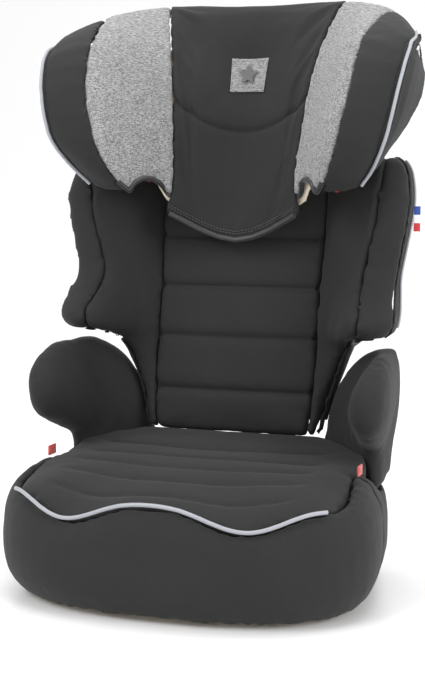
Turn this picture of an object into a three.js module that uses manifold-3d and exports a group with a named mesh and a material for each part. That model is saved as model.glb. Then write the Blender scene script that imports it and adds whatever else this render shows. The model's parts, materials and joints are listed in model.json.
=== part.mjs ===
// High-back booster seat: a padded base with armrests, a backrest that reclines on a rod at the
// base's rear, and a winged headrest that slides up and down in the backrest's spine.
// Millimetres, +Z up, the child faces -Y. The origin is the middle of the footprint, on the floor.

import * as THREE from "three";
import { mergeVertices } from "three/addons/utils/BufferGeometryUtils.js";
import Module from "manifold-3d";

const wasm = await Module();
wasm.setup();

// ---- Driving dimensions ----
const BASE_WIDTH = 452; // base at its widest
const BASE_FRONT = 211; // front bulge, ahead of the seat datum
const BASE_REAR = 160; // rear wall, behind the seat datum
const SEAM_HEIGHT = 131; // top seam of the base, at the middle of its front
const WING_WIDTH = BASE_WIDTH - 8; // across the backrest's wings
const HEAD_WIDTH = BASE_WIDTH + 6; // across the headrest's wings
const BACK_HEIGHT = 342; // backrest, from the bottom of its pad to the top of its wings
const ARM_HEIGHT = 282; // top of the armrests, above the floor
const RECLINE = 10.9; // backrest, degrees behind upright
const NOTCHES = 7; // heights of the headrest
const STEP = 20; // one notch to the next

const GAP = 0.4; // between pieces that touch
const SEAM_GAP = 0.8; // between thin sewn panels
const LAYER_GAP = 1.2; // between a sewn cover and the layer under it
const COVER = 8; // padded cover over the base and armrests
const BACK_PAD = 16; // foam and cover on the backrest
const BACK_SEAM_GAP = 0.1 * BACK_PAD; // between its panels, whose edges lean together as they get deeper
const HEAD_PAD = 8; // foam and cover on the headrest
const HEAD_LINER = 7; // foam liner behind the headrest's cover
const SHELL_WALL = 4; // moulded shells
const PIPING = 5; // piping diameter
const FOOT_HEIGHT = 6;
const FOOT_RADIUS = 14;
const ROD_RADIUS = 5; // rod that the backrest hooks onto
const ROD_CLEARANCE = 0.4;
const SPINE_WIDTH = 120;
const SPINE_WALL = 4;
const SLIDER_WIDTH = 96;
const SLIDER_THICKNESS = 5;
const RACK_WIDTH = 26;
const RACK_THICKNESS = 4;
const BOLT_WIDTH = 14;
const BOLT_THICKNESS = 7;
const BOLT_STROKE = 5; // how far the bolt leaves its notch
const LINK_THICKNESS = 2;
const LINK_AHEAD = 5; // middle of the link, ahead of the slider
const LINK_SPACE = LINK_AHEAD + LINK_THICKNESS / 2 + BOLT_STROKE + 1; // slot that it moves in
const LEVER_PIN_RADIUS = 3;
const SCREW_RADIUS = 4.5;
const GUIDE_THICKNESS = 6;
const ARM_CLEARANCE = 3.5; // between the armrests and the backrest
const TAB_LENGTH = 20;
const TAB_HEIGHT = 12;
const TAB_THICKNESS = 2;
const PATCH_WIDTH = 46;
const PATCH_THICKNESS = 1.2;
const LABEL_HEIGHT = 30;
const LABEL_THICKNESS = 1.2;
const SPINE_HIGH = 470; // top of the spine, in its own frame
const SLIDER_LOW = 238; // ends of the slider at its lowest height
const SLIDER_HIGH = 466;
const SCREW_LOW = 30; // rows of screws
const SCREW_HIGH = 420;
const FOOT_FRONT_Y = -118;
const FOOT_REAR_Y = 96;
const GUIDE_OUTER = 21; // radii of the shoulder belt guides
const GUIDE_INNER = 13;
const ARM_INSIDE = 37; // inner side of the armrests, from the base's side
const TAB_INSIDE = 34; // belt tabs, from the base's side, beside the seam
// The tables of stations below are given for these sizes, and follow the sizes above.
const STATION_BASE = 452;
const STATION_WING = 444;
const STATION_HEAD = 458;
const STATION_BACK = 342;
const ORIGIN_Y = -10.3; // puts the middle of the footprint at the origin

// ---- Materials ----
const material = (color, roughness, metalness = 0) =>
  new THREE.MeshStandardMaterial({ color, roughness, metalness });
const blackFabric = material(0x26292a, 0.9);
const heatherFabric = material(0xa9adb0, 0.95);
const whitePiping = material(0xdfe3ea, 0.55);
const blackPlastic = material(0x1d1e20, 0.5);
const creamFoam = material(0xe6dfd2, 0.85);
const redPlastic = material(0xc8312b, 0.5);
const steel = material(0xb8bcc0, 0.3, 1);
const rubber = material(0x151515, 0.8);

// ---- Shared solid helpers ----
const V = (x, y, z) => new THREE.Vector3(x, y, z);
const lerp = THREE.MathUtils.lerp;
const smooth = (x, low, high) => THREE.MathUtils.smoothstep(x, low, high);
const radians = THREE.MathUtils.degToRad;

// How much higher the headrest stands than its stations say, upright and along the lean.
const LIFT = BACK_HEIGHT - STATION_BACK;
const LEAN_LIFT = LIFT / Math.cos(radians(RECLINE));
const ACROSS = BASE_WIDTH / STATION_BASE;
// A direction into a pad, turned as the seat gets wider or narrower.
const acrossNormal = (dir) => V(dir.x / ACROSS, dir.y, dir.z).normalize();

// One closed surface with merged vertices and its faces pointing out.
function closed(geometry) {
  const bare = geometry.clone();
  bare.deleteAttribute("normal");
  bare.deleteAttribute("uv");
  const merged = mergeVertices(bare, 1e-3);
  const p = merged.getAttribute("position");
  const index = merged.index.array;
  const [a, b, c] = [V(0, 0, 0), V(0, 0, 0), V(0, 0, 0)];
  let volume = 0;
  for (let i = 0; i < index.length; i += 3) {
    a.fromBufferAttribute(p, index[i]);
    b.fromBufferAttribute(p, index[i + 1]);
    c.fromBufferAttribute(p, index[i + 2]);
    volume += a.dot(b.cross(c));
  }
  if (volume < 0) {
    for (let i = 0; i < index.length; i += 3) {
      [index[i + 1], index[i + 2]] = [index[i + 2], index[i + 1]];
    }
  }
  return merged;
}

// A box whose points are moved by a map from (u, v, w), each 0 to 1, to a place.
function block(map, nu, nv, nw = 1) {
  const geometry = new THREE.BoxGeometry(1, 1, 1, nu, nv, nw);
  const p = geometry.getAttribute("position");
  for (let i = 0; i < p.count; i++) {
    const q = map(p.getX(i) + 0.5, p.getY(i) + 0.5, p.getZ(i) + 0.5);
    p.setXYZ(i, q.x, q.y, q.z);
  }
  return closed(geometry);
}

function box(width, depth, height, x, y, z) {
  return closed(new THREE.BoxGeometry(width, depth, height).translate(x, y, z));
}

// A plate cut from an outline in the YZ plane, thickness along X, centred on x.
function sidePlate(points, thickness, x, holes = []) {
  const shape = new THREE.Shape(points.map(([y, z]) => new THREE.Vector2(y, z)));
  shape.holes = holes;
  const plate = new THREE.ExtrudeGeometry(shape, { depth: thickness, bevelEnabled: false, curveSegments: 12 });
  plate.applyMatrix4(new THREE.Matrix4().makeBasis(V(0, 1, 0), V(0, 0, 1), V(1, 0, 0)));
  return closed(plate.translate(x - thickness / 2, 0, 0));
}

// A tube of round section along points.
function tube(points, diameter, steps, sides = 4) {
  const section = new THREE.Shape();
  section.absarc(0, 0, diameter / 2, 0, 2 * Math.PI);
  const path = new THREE.CatmullRomCurve3(points, false, "centripetal");
  return closed(
    new THREE.ExtrudeGeometry(section, { steps, extrudePath: path, curveSegments: sides }),
  );
}

// A round bar along X.
function barX(radius, length, x, y, z, sides = 16) {
  return closed(
    new THREE.CylinderGeometry(radius, radius, length, sides).rotateZ(Math.PI / 2).translate(x, y, z),
  );
}

function toSolid(geometry) {
  return new wasm.Manifold(
    new wasm.Mesh({
      numProp: 3,
      vertProperties: new Float32Array(geometry.getAttribute("position").array),
      triVerts: new Uint32Array(geometry.index.array),
    }),
  );
}

function toGeometry(solid) {
  const mesh = solid.getMesh();
  return new THREE.BufferGeometry()
    .setAttribute("position", new THREE.BufferAttribute(mesh.vertProperties, 3))
    .setIndex(new THREE.BufferAttribute(mesh.triVerts, 1));
}

const cut = (body, ...tools) =>
  toGeometry(tools.reduce((s, t) => s.subtract(toSolid(t)), toSolid(body)));
const join = (...bodies) =>
  toGeometry(bodies.slice(1).reduce((s, b) => s.add(toSolid(b)), toSolid(bodies[0])));

const object = new THREE.Group();
object.position.y = ORIGIN_Y;

function put(name, geometry, surface, parent = object) {
  const mesh = new THREE.Mesh(geometry, surface);
  mesh.name = name;
  parent.add(mesh);
  return mesh;
}

// Both sides of a piece: right is +X, and left is its mirror image.
function putPair(name, geometry, surface, parent = object) {
  put(name + "_right", geometry, surface, parent);
  put(name + "_left", closed(geometry.clone().scale(-1, 1, 1)), surface, parent);
}

// ---- Base outline: a round front, and sides that draw in towards the rear ----
const BASE_MIDDLE = -50; // where the base is widest
const SIDE_TAPER = 0.11; // how much the sides draw in at the rear, as a share
const TUCK = 26; // how far the cover turns in under the base
const HEM_HEIGHT = 4; // underside of the cover, above the floor
const BULGE_AT = 0.58; // height of the widest line, as a share of the seam's height

// Point on the plan outline, drawn in by inset. turn is 0 at the right side, -90 at the front.
function outline(turn, inset) {
  const c = Math.cos(turn);
  const s = Math.sin(turn);
  const power = s < 0 ? 2.4 : 6;
  const wide = BASE_WIDTH / 2 - inset;
  const long = (s < 0 ? BASE_FRONT + BASE_MIDDLE : BASE_REAR - BASE_MIDDLE) - inset;
  const r = ((Math.abs(c) / wide) ** power + (Math.abs(s) / long) ** power) ** (-1 / power);
  const y = BASE_MIDDLE + r * s;
  return { x: r * c * (1 - SIDE_TAPER * smooth(y, BASE_MIDDLE - 60, BASE_REAR)), y };
}

// The top seam: a wave along the front, up and inwards along each side, then down to the armrest.
const WAVE_DIP = 22; // the seam's two low points, below its middle
const SIDE_SEAM_RISE = 17;
const ARM_SEAM = 118; // height of the seam under the armrest
const ARM_SEAM_INSET = 8;
function seam(turn) {
  const edge = outline(turn, 0);
  const side = smooth(edge.y, -150, -30);
  const rear = smooth(edge.y, -5, 55);
  const across = Math.min(1, (2.38 * Math.abs(edge.x)) / BASE_WIDTH) ** 1.3;
  const wave = WAVE_DIP * Math.sin(Math.PI * across) ** 2 * (1 - side);
  const height = SEAM_HEIGHT - wave - 5 * across * (1 - side) + SIDE_SEAM_RISE * side;
  return {
    inset: lerp(lerp(14, 32, side), ARM_SEAM_INSET, rear),
    height: lerp(height, ARM_SEAM, rear),
  };
}

// Cover profile at one turn: q runs from the hem under the base up to the seam.
function coverProfile(turn, q, depth) {
  const top = seam(turn);
  const line = new THREE.CatmullRomCurve3([
    V(TUCK, HEM_HEIGHT, 0),
    V(9, 20, 0),
    V(1, 0.36 * top.height, 0),
    V(0, BULGE_AT * top.height, 0),
    V(0.35 * top.inset, 0.9 * top.height, 0),
    V(top.inset - 0.5, top.height - 1, 0),
  ]);
  const p = line.getPoint(q);
  const plan = outline(turn, p.x + depth);
  return V(plan.x, plan.y, p.y - depth * smooth(q, 0.6, 1) * 0.9 + depth * (1 - smooth(q, 0, 0.2)) * 0.4);
}

const FRONT = -Math.PI / 2;
const SKIRT_SWEEP = radians(97); // each way from the front
const SKIRT_SLANT = radians(7);
const SIDE_END = radians(149);

// ---- Base ----
const skirtEdge = (q) => SKIRT_SWEEP + SKIRT_SLANT * (1 - q);
const COVER_ROWS = 7;

// The right side's cover from depth d0 to d1 under its face.
const sideCover = (d0, d1, end = SIDE_END) =>
  block(
    (u, v, w) => coverProfile(FRONT + lerp(skirtEdge(v) + 0.01, end, u), v, lerp(d0, d1, w)),
    9,
    COVER_ROWS,
  );

function makeBase() {
  put(
    "seat_skirt",
    block((u, v, w) => coverProfile(FRONT + skirtEdge(v) * (2 * u - 1), v, COVER * w), 34, COVER_ROWS),
    blackFabric,
  );
  putPair("side_panel", sideCover(0, COVER), blackFabric);

  // The moulded shell is open underneath, and drops into a well where the backrest hooks on.
  const body = (depth, top, floor) =>
    ringLoft(
      (level, around, centred) => {
        if (centred) return V(0, 0, level > 0.5 ? top : floor);
        const p = coverProfile(around * 2 * Math.PI, level, depth);
        p.z = level === 0 ? floor : Math.min(p.z, top);
        return p;
      },
      COVER_ROWS,
      56,
    );
  const well = (extra) => {
    const low = WELL_FLOOR - extra;
    const front = WELL_FRONT - extra;
    const long = BASE_REAR + 50 - front;
    return box(2 * (WELL_HALF + extra), long, DECK, 0, front + long / 2, low + DECK / 2);
  };
  const shellDepth = COVER + LAYER_GAP;
  const foamDepth = shellDepth + SHELL_WALL;
  put(
    "base_shell",
    cut(
      body(shellDepth, DECK, SHELL_LOW),
      well(0),
      cut(body(foamDepth, DECK - SHELL_WALL, -1), well(SHELL_WALL)),
    ),
    blackPlastic,
  );
  put(
    "base_core",
    cut(body(foamDepth + GAP, DECK - SHELL_WALL - GAP, FOOT_HEIGHT), well(SHELL_WALL + GAP)),
    creamFoam,
  );

  // Seat pad: its edge follows the top seam, and its rear ends in front of the backrest.
  put(
    "seat_pad",
    block((u, v, w) => padPoint(2 * u - 1, 2 * v - 1, w), 18, 18, 2),
    blackFabric,
  );

  // White piping along the wave of the seam.
  const pipe = [];
  for (let i = 0; i <= 28; i++) {
    const turn = FRONT + lerp(-1, 1, i / 28) * PIPING_SWEEP;
    const s = seam(turn);
    const p = outline(turn, s.inset - PIPING / 2 - 1);
    pipe.push(V(p.x, p.y, s.height + PIPING / 2));
  }
  put("seat_piping", tube(pipe, PIPING, 36), whitePiping);

  for (const [row, y] of [["front", FOOT_FRONT_Y], ["rear", FOOT_REAR_Y]]) {
    const foot = new THREE.CylinderGeometry(FOOT_RADIUS, FOOT_RADIUS, FOOT_HEIGHT - GAP, 16)
      .rotateX(Math.PI / 2)
      .translate(0.3 * BASE_WIDTH, y, (FOOT_HEIGHT - GAP) / 2);
    putPair("foot_" + row, closed(foot), rubber);
  }

  put("hinge_rod", barX(ROD_RADIUS, 2 * ROD_HALF, 0, ROD_Y, ROD_Z), steel);
  const bracket = sidePlate(
    [
      [ROD_Y - 13, WELL_FLOOR + GAP],
      [ROD_Y + 13, WELL_FLOOR + GAP],
      [ROD_Y + 11, ROD_Z + 6],
      [ROD_Y + 4, ROD_Z + 11],
      [ROD_Y - 4, ROD_Z + 11],
      [ROD_Y - 11, ROD_Z + 6],
    ],
    BRACKET_WIDTH,
    ROD_HALF - BRACKET_WIDTH / 2 - 2,
  );
  putPair(
    "rod_bracket",
    cut(bracket, barX(ROD_RADIUS + ROD_CLEARANCE, 60, ROD_HALF - 20, ROD_Y, ROD_Z)),
    blackPlastic,
  );
}

const SHELL_LOW = 8; // lower edge of the moulded shell
const DECK = 90; // top of the shell, under the pad
const WELL_FLOOR = 58; // floor of the well behind the seat pad
const WELL_HALF = 96; // half the well's width
const WELL_FRONT = 114; // front of the well
const ROD_Y = 136;
const ROD_Z = 80;
const ROD_HALF = 90;
const BRACKET_WIDTH = 10;
const PIPING_SWEEP = radians(63);
const PAD_REAR = 108; // rear edge of the seat pad, under the backrest's pad

// Seat surface: nearly level, rising to the backrest and rounding over to the front seam.
function seatHeight(y) {
  return SEAM_HEIGHT + 22 + 14 * smooth(y, -20, 95) + 2.5 * smooth(y, 60, 95) - 13 * smooth(-y, 60, 200);
}

// Square coordinates to the pad's round plan: rings of the square become rings of the outline.
// The pad's rim overhangs the top edge of the cover by RIM.
const RIM = 9;
function padPoint(u, v, w) {
  const ring = Math.max(Math.abs(u), Math.abs(v));
  const turn = Math.atan2(v, u);
  const s = seam(turn);
  const edge = outline(turn, s.inset + (w === 1 ? 0.5 : RIM + 1));
  const y = Math.min(edge.y, PAD_REAR);
  const between = BASE_WIDTH / 2 - ARM_INSIDE * ACROSS - Math.max(0, y - 38);
  const x = Math.sign(edge.x) * Math.min(Math.abs(edge.x), between);
  const middle = BASE_MIDDLE / 2;
  const plan = V(x * ring, middle + (y - middle) * ring, DECK + GAP);
  if (w === 0) return plan;
  const rim = lerp(s.height, seatHeight(plan.y) - 4, smooth(y, -20, 40));
  plan.z = w === 1 ? lerp(rim, seatHeight(plan.y), 1 - ring ** 6) : rim - RIM;
  return plan;
}

// ---- Armrests ----
// Plan outline of the right armrest at each height: inner front, tip, outer front, outer side,
// outer rear, inner rear, the edge beside the backrest, inner side. x is from the base's side.
const ARM_LEVELS = [
  { z: 121, p: [[-44, 50], [-36, 46], [-28, 52], [-26, 90], [-35, 140], [-110, 144], [-112, 117], [-76, 84]] },
  { z: 160, p: [[-44, 46], [-36, 42], [-28, 48], [-25, 90], [-34, 140], [-104, 144], [-112, 117], [-76, 84]] },
  { z: 174, p: [[-44, 40], [-35, 34], [-26, 42], [-24, 90], [-32, 140], [-100, 144], [-112, 116], [-76, 84]] },
  { z: 186, p: [[-38, -12], [-26, -24], [-16, -14], [-19, 70], [-30, 140], [-97, 144], [-112, 114], [-72, 74]] },
  { z: 208, p: [[-46, -34], [-26, -47], [-9, -34], [-14, 60], [-27, 140], [-92, 144], [-108, 112], [-66, 68]] },
  { z: 236, p: [[-46, -40], [-25, -54], [-6, -40], [-12, 60], [-26, 140], [-78, 142], [-94, 109], [-60, 62]] },
  { z: 262, p: [[-36, -32], [-20, -46], [-7, -30], [-13, 60], [-25, 138], [-64, 134], [-78, 101], [-48, 58]] },
  { z: 280, p: [[-30, -6], [-19, -18], [-11, -4], [-14, 60], [-24, 126], [-50, 120], [-60, 90], [-38, 56]] },
  { z: 288, p: [[-25, 18], [-19, 12], [-15, 20], [-17, 60], [-22, 106], [-36, 102], [-42, 82], [-30, 54]] },
];
const ARM_BASE = 121; // bottom of the armrest's cover

// Ring point of the armrest at a height, shrunk towards its middle by depth.
function armPoint(height, around, depth) {
  const rows = ARM_LEVELS;
  const scaled = (z) => ARM_BASE + ((z - ARM_BASE) * (ARM_HEIGHT - ARM_BASE)) / (288 - ARM_BASE);
  let k = 0;
  while (k < rows.length - 2 && height > scaled(rows[k + 1].z)) k++;
  const t = THREE.MathUtils.clamp(
    (height - scaled(rows[k].z)) / (scaled(rows[k + 1].z) - scaled(rows[k].z)),
    0,
    1,
  );
  const ring = rows[k].p.map(([x, y], i) =>
    V((lerp(x, rows[k + 1].p[i][0], t) + STATION_BASE / 2) * ACROSS, lerp(y, rows[k + 1].p[i][1], t), 0),
  );
  const curve = new THREE.CatmullRomCurve3(ring, true, "centripetal");
  const p = curve.getPoint(around);
  if (depth) {
    const tangent = curve.getTangent(around);
    p.add(V(-tangent.y, tangent.x, 0).multiplyScalar(depth));
  }
  p.z = height;
  return p;
}

// A closed loft of rings, made from a cylinder whose rows are moved to each ring.
function ringLoft(ringPoint, rows, sides) {
  const geometry = new THREE.CylinderGeometry(1, 1, 1, sides, rows);
  const p = geometry.getAttribute("position");
  for (let i = 0; i < p.count; i++) {
    const around = Math.atan2(p.getZ(i), p.getX(i)) / (2 * Math.PI);
    const level = p.getY(i) + 0.5;
    const centred = Math.hypot(p.getX(i), p.getZ(i)) < 0.5;
    const q = ringPoint(level, (around + 1) % 1, centred);
    p.setXYZ(i, q.x, q.y, q.z);
  }
  return closed(geometry);
}

function makeArmrests() {
  const middleOf = (z, depth) => {
    const sum = V(0, 0, 0);
    for (let i = 0; i < 8; i++) sum.add(armPoint(z, i / 8, depth));
    return sum.multiplyScalar(1 / 8);
  };
  const loft = (low, high, depth, rows) =>
    ringLoft(
      (level, around, centred) => {
        const z = lerp(low, high, level);
        return centred ? middleOf(z, depth) : armPoint(z, around, depth);
      },
      rows,
      22,
    );
  // Room for the backrest: its outer surface, swept straight back.
  const passage = block(
    (u, v, w) => {
      const p = backSkin(lerp(-3.25, 3.25, u), lerp(0.5, 1, v), -ARM_CLEARANCE);
      if (v === 1) p.z -= 3;
      return p.addScaledVector(V(0, 1, -0.25), 120 * w);
    },
    26,
    13,
  );
  const foot = DECK + GAP;
  const crest = ARM_HEIGHT - COVER - 4;
  putPair(
    "armrest_cover",
    cut(loft(ARM_BASE, ARM_HEIGHT, 0, 11), loft(foot - 1, crest + 1, COVER - 2 * GAP, 11), passage),
    blackFabric,
  );
  // The moulded arm stands on the shell's deck.
  const wall = sideCover(-30, COVER + 2 * LAYER_GAP, SIDE_END + 0.03);
  putPair(
    "armrest_core",
    cut(loft(foot, crest, COVER, 11), passage, wall, wall.clone().translate(0, 0, 2), wall.clone().translate(-GAP, 0, 0)),
    blackPlastic,
  );

  // Red tab sewn beside each lap belt slot.
  putPair(
    "lap_belt_tab",
    box(TAB_THICKNESS, TAB_LENGTH, TAB_HEIGHT, BASE_WIDTH / 2 - TAB_INSIDE, -26, SEAM_HEIGHT + 16.5 + TAB_HEIGHT / 2),
    redPlastic,
  );
}

// ---- Skins: surfaces drawn through rails, from the middle rail outwards ----
// rails hold [x, y, z] stations from top to bottom. inward gives each rail's direction into the pad.
function makeSkin(rails, inward, flatMiddle, seamGap) {
  const curves = rails.map(
    (rail) => new THREE.CatmullRomCurve3(rail.map(([x, y, z]) => V(x, y, z)), false, "centripetal"),
  );
  const last = rails.length - 1;
  const skin = (a, v, depth) => {
    const side = curves.map((c) => c.getPoint(v));
    const other = side.slice(1).reverse().map((p) => V(-p.x, p.y, p.z));
    const across = new THREE.CatmullRomCurve3([...other, ...side], false, "centripetal");
    const p =
      flatMiddle && Math.abs(a) < 1
        ? side[0].clone().lerp(V(Math.sign(a) * side[1].x, side[1].y, side[1].z), Math.abs(a))
        : across.getPoint((a + last) / (2 * last));
    const k = Math.min(last - 1, Math.floor(Math.abs(a)));
    const dir = inward(k, v).clone().lerp(inward(k + 1, v), Math.abs(a) - k);
    if (a < 0) dir.x = -dir.x;
    return p.addScaledVector(dir.normalize(), depth);
  };
  // Half a gap beside rail k, on the side of rail k + step, as a share of the way between them.
  skin.last = last;
  skin.edge = (k, step, v) =>
    k + (step * seamGap) / 2 / curves[k].getPoint(v).distanceTo(curves[k + step].getPoint(v));
  return skin;
}

// A panel of a skin from rail a0 to rail a1, stations v0 to v1 (numbers or functions of the rail)
// and depths d0 to d1. Whole rails are seams, and leave a gap for the panel beside them.
function panel(skin, [a0, a1], [v0, v1], [d0, d1], nu, nv) {
  const at = (value, a) => (typeof value === "function" ? value(a) : value);
  const seamAt = (a, step, v) => {
    if (!Number.isInteger(a)) return a;
    const k = Math.abs(a);
    return Math.sign(a || 1) * skin.edge(k, step * Math.sign(a || 1), v);
  };
  return block(
    (u, v, w) => {
      const near = lerp(a0, a1, u);
      const share = lerp(at(v0, near), at(v1, near), v);
      const a = lerp(seamAt(a0, 1, share), a1 === skin.last ? a1 : seamAt(a1, -1, share), u);
      return skin(a, share, lerp(d0, d1, w));
    },
    nu,
    nv,
  );
}

// ---- Backrest ----
const BACK_Z = 172; // bottom of the backrest's pad
const BACK_Y = 85.5; // front of the backrest's pad at its bottom
const lean = Math.tan(radians(RECLINE));
const backY = (z) => BACK_Y + (z - BACK_Z) * lean;
const backZ = (share) => BACK_Z + share * BACK_HEIGHT;

// Stations down the backrest: share of its height, then each rail's [x, ahead of the pad's plane].
const BACK_STATIONS = [
  { h: 1.0, s: 104, w: [-44, 38], e: [-24, 30], r: [-28, 0] },
  { h: 0.965, s: 105, w: [-36, 56], e: [-9, 42], r: [-15, -8] },
  { h: 0.85, s: 106, w: [-39, 63], e: [0, 52], r: [-9, -13] },
  { h: 0.712, s: 106, w: [-46, 54], e: [-6, 43], r: [-14, -15] },
  { h: 0.576, s: 104, w: [-58, 44], e: [-14, 33], r: [-21, -16] },
  { h: 0.491, s: 104, w: [-56, 66], e: [-11, 56], r: [-19, -15] },
  { h: 0.429, s: 104, w: [-52, 88], e: [-9, 66], r: [-19, -12] },
  { h: 0.377, s: 104, w: [-55, 82], e: [-14, 60], r: [-26, -8] },
  { h: 0.33, s: 104, w: [-76, 22], e: [-66, 14], r: [-66, -14] },
  { h: 0.23, s: 104, w: [-92, 2], e: [-84, -6], r: [-84, -24] },
  { h: 0.126, s: 102, w: [-104, -4], e: [-97, -12], r: [-97, -28] },
  { h: 0.0, s: 98, w: [-114, -4], e: [-108, -10], r: [-108, -26] },
];

function backRails() {
  const rail = (x, ahead) => (st) => {
    const z = backZ(st.h);
    return [(x(st) * WING_WIDTH) / STATION_WING, backY(z) - ahead(st), z];
  };
  const half = STATION_WING / 2;
  return [
    BACK_STATIONS.map(rail(() => 0, () => 0)),
    BACK_STATIONS.map(rail((st) => st.s, () => 0)),
    BACK_STATIONS.map(rail((st) => half + st.w[0], (st) => st.w[1])),
    BACK_STATIONS.map(rail((st) => half + st.e[0], (st) => st.e[1])),
    BACK_STATIONS.map(rail((st) => half + st.r[0], (st) => st.r[1])),
  ];
}

const BACKWARD = V(0, Math.cos(radians(RECLINE)), -Math.sin(radians(RECLINE)));
const BACK_INWARD = [V(0, 1, -0.19), V(0.12, 1, -0.19), V(0.5, 0.87, 0), V(-0.5, 0.87, 0), V(-1, 0.1, 0)];
const backInward = (k, v) => {
  const low = smooth(v, 0.66, 0.76);
  return acrossNormal(BACK_INWARD[k]).lerp(BACKWARD, low);
};
const backSkin = makeSkin(backRails(), backInward, true, BACK_SEAM_GAP);

// Depths behind the face of the backrest's pads, along the backward direction.
const BACK_SHELL_AT = BACK_PAD + 2.5 * LAYER_GAP;
const SPINE_AT = BACK_SHELL_AT + SHELL_WALL + 1;
const SLIDER_AT = SPINE_AT + 10;
const RACK_AT = SLIDER_AT + SLIDER_THICKNESS + 1;
const SPINE_BACK_AT = RACK_AT + RACK_THICKNESS + GAP;

function makeBackrest() {
  put(
    "backrest_panel_pad",
    panel(backSkin, [-1, 1], [3 / 26, 1], [0, BACK_PAD], 8, 23),
    blackFabric,
  );
  const side = (a0, a1, deep, nu) =>
    panel(backSkin, [a0, a1], [0, 1], [0, deep], nu, 26);
  putPair("wing_pad", side(1, 2, BACK_PAD, 4), blackFabric);
  putPair("wing_edge", side(2, 3, BACK_PAD, 4), blackFabric);
  putPair(
    "wing_side",
    panel(backSkin, [3, 4], [0, 17 / 26], [0, BACK_PAD / 2], 2, 17),
    blackFabric,
  );
  put(
    "backrest_shell",
    panel(backSkin, [-2.75, 2.75], [1 / 26, 25 / 26], [BACK_SHELL_AT, BACK_SHELL_AT + SHELL_WALL], 22, 24),
    blackPlastic,
  );

  // Piping down the outer side of each wing.
  const pipe = [];
  for (let i = 0; i <= 20; i++) pipe.push(backSkin(3.5, lerp(0.04, 0.6, i / 20), -PIPING / 2 - 1));
  putPair("wing_piping", tube(pipe, PIPING * 0.7, 28), whitePiping);

  // Woven label folded out of the right wing's edge.
  const labelTop = backSkin(3.2, 0.2, 0);
  const labelWidth = 8;
  const widest = Math.max(...[0.2, 0.23, 0.26, 0.29].map((v) => backSkin(3.2, v, 0).x));
  put(
    "side_label",
    box(
      labelWidth,
      LABEL_THICKNESS,
      LABEL_HEIGHT,
      widest + labelWidth / 2 + GAP,
      labelTop.y,
      labelTop.z - LABEL_HEIGHT / 2,
    ),
    whitePiping,
  );

  // The spine: a channel open to the front, which the headrest's slider runs in.
  const tall = SPINE_HIGH + LEAN_LIFT;
  const middle = tall / 2;
  const depth = SPINE_BACK_AT + SPINE_WALL - SPINE_AT;
  const channel = cut(
    box(SPINE_WIDTH, depth, tall, 0, SPINE_AT + depth / 2, middle),
    box(
      SPINE_WIDTH - 2 * SPINE_WALL,
      depth,
      tall - 60,
      0,
      SPINE_AT + depth / 2 - SPINE_WALL,
      middle + 50,
    ),
  );
  put("spine", channel, blackPlastic, leaning);

  // Rack with one notch for each headrest height.
  const notches = [];
  for (let i = 0; i < NOTCHES; i++) {
    notches.push(
      box(BOLT_WIDTH + 1, RACK_THICKNESS * 3, BOLT_THICKNESS + 1, 0, RACK_AT, BOLT_HEIGHT + i * STEP),
    );
  }
  const rackTall = NOTCHES * STEP + 20;
  put(
    "height_rack",
    cut(
      box(RACK_WIDTH, RACK_THICKNESS, rackTall, 0, RACK_AT + RACK_THICKNESS / 2, BOLT_HEIGHT + rackTall / 2 - 22),
      ...notches,
    ),
    steel,
    leaning,
  );

  // Hooks that drop over the rod.
  const hook = (x) =>
    cut(
      sidePlate(
        [
          [ROD_Y - 12, ROD_Z - 4],
          [ROD_Y - 9, ROD_Z - 12],
          [ROD_Y + 9, ROD_Z - 12],
          [ROD_Y + 12, ROD_Z - 4],
          [ROD_Y + 12, ROD_Z + 10],
          [ROD_Y + 2, HOOK_TOP],
          [ROD_Y - 10, HOOK_TOP],
        ],
        HOOK_WIDTH,
        x,
      ),
      barX(ROD_RADIUS + ROD_CLEARANCE, HOOK_WIDTH + 4, x, ROD_Y, ROD_Z),
      box(HOOK_WIDTH + 4, 2 * ROD_RADIUS + 1, 20, x, ROD_Y + 1, ROD_Z - 12),
    );
  putPair("rod_hook", hook(SPINE_WIDTH / 2 + HOOK_WIDTH / 2 + GAP), blackPlastic);

  for (const [row, z] of [["upper", SCREW_HIGH + LEAN_LIFT], ["lower", SCREW_LOW]]) {
    const screw = new THREE.CylinderGeometry(SCREW_RADIUS, SCREW_RADIUS, 3, 12).translate(
      SPINE_WIDTH / 2 - 14,
      SPINE_BACK_AT + SPINE_WALL + GAP + 1.5,
      z,
    );
    putPair("spine_screw_" + row, closed(screw), steel, leaning);
  }
}
const HOOK_WIDTH = 10;
const HOOK_TOP = 214;
const BOLT_HEIGHT = 268 + LEAN_LIFT; // height of the lowest notch in the spine's own frame

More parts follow.
